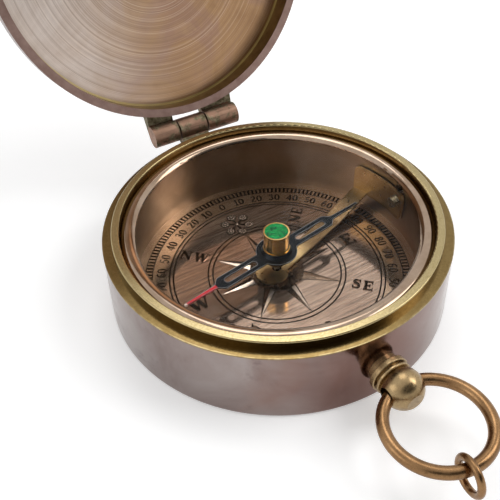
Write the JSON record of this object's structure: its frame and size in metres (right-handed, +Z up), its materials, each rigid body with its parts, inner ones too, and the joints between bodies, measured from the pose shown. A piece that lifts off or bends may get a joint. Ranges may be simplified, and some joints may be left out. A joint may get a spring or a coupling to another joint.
{
  "type": "pocket compass",
  "caption": "Round brass pocket compass with a hinged lid, slotted needle on a pivot under glass, needle lock at the side, and a pendant with a bow ring.",
  "frame": {"origin": "centre of the case's flat base, on the needle's axis", "axes": "+Z up along the needle's axis, +Y to the lid hinge, the pendant opposite, 2 degrees off -Y, +X to the dial's east and the lock"},
  "size_m": [0.053, 0.092, 0.0626],
  "materials": {
    "case_brass": "polished, tarnished brown",
    "wall_brass": "polished",
    "dial_copper": "straight-grained, engraved and darkened",
    "steel": "turned",
    "glass": "clear",
    "ring_brass": "polished",
    "needle_steel": "blue-black, red at one tip",
    "dark_brass": "dull",
    "cap_brass": "polished",
    "green_inlay": "mottled, glossy",
    "jewel_stone": "polished stone",
    "lifter_brass": "satin",
    "lid_brass": "turned inside, polished outside",
    "hinge_brass": "polished, with grey solder",
    "pendant_brass": "antique, polished on the high places"
  },
  "bodies": {
    "case": {"case_body": "case_brass", "sleeve": "wall_brass", "dial": "dial_copper", "dial_boss": "dial_copper", "pivot": "steel", "glass": "glass", "retaining_ring": "ring_brass", "case_knuckle": "hinge_brass", "pendant_stem": "pendant_brass", "pendant_collar": "pendant_brass", "pendant_ball": "pendant_brass"},
    "lid": {"lid": "lid_brass", "lid_knuckle_left": "hinge_brass", "lid_knuckle_right": "hinge_brass", "hinge_pin": "hinge_brass"},
    "needle": {"needle": "needle_steel", "needle_collar": "needle_steel", "needle_bush": "dark_brass", "cap": "cap_brass", "cap_inlay": "green_inlay", "jewel": "jewel_stone"},
    "lock": {"lifter": "lifter_brass", "lock_stud": "steel", "lock_washer": "steel", "lock_knob": "case_brass"},
    "bow": {"bow_ring": "pendant_brass"},
    "link": {"jump_ring": "pendant_brass"}
  },
  "joints": [
    {"name": "lid_hinge", "type": "hinge", "parent": "case", "child": "lid", "pos_m": [0, 0.02748, 0.01248], "axis": [-1, 0, 0], "range_deg": [-107.9, 72.1]},
    {"name": "needle_turn", "type": "hinge", "parent": "case", "child": "needle", "pos_m": [0, 0, 0.00766], "axis": [0, 0, 1], "continuous": true},
    {"name": "lock_slide", "type": "slide", "parent": "case", "child": "lock", "axis": [0, 0, 1], "range_m": [0, 0.0015]},
    {"name": "bow_swing", "type": "hinge", "parent": "case", "child": "bow", "pos_m": [0.00102, -0.02922, 0.00552], "axis": [0.9994, 0.0349, 0], "range_deg": [-100, 100]},
    {"name": "link_swing", "type": "hinge", "parent": "bow", "child": "link", "pos_m": [0.00036, -0.04181, 0.00606], "axis": [0.9877, -0.1563, 0.0067], "continuous": true}
  ]
}
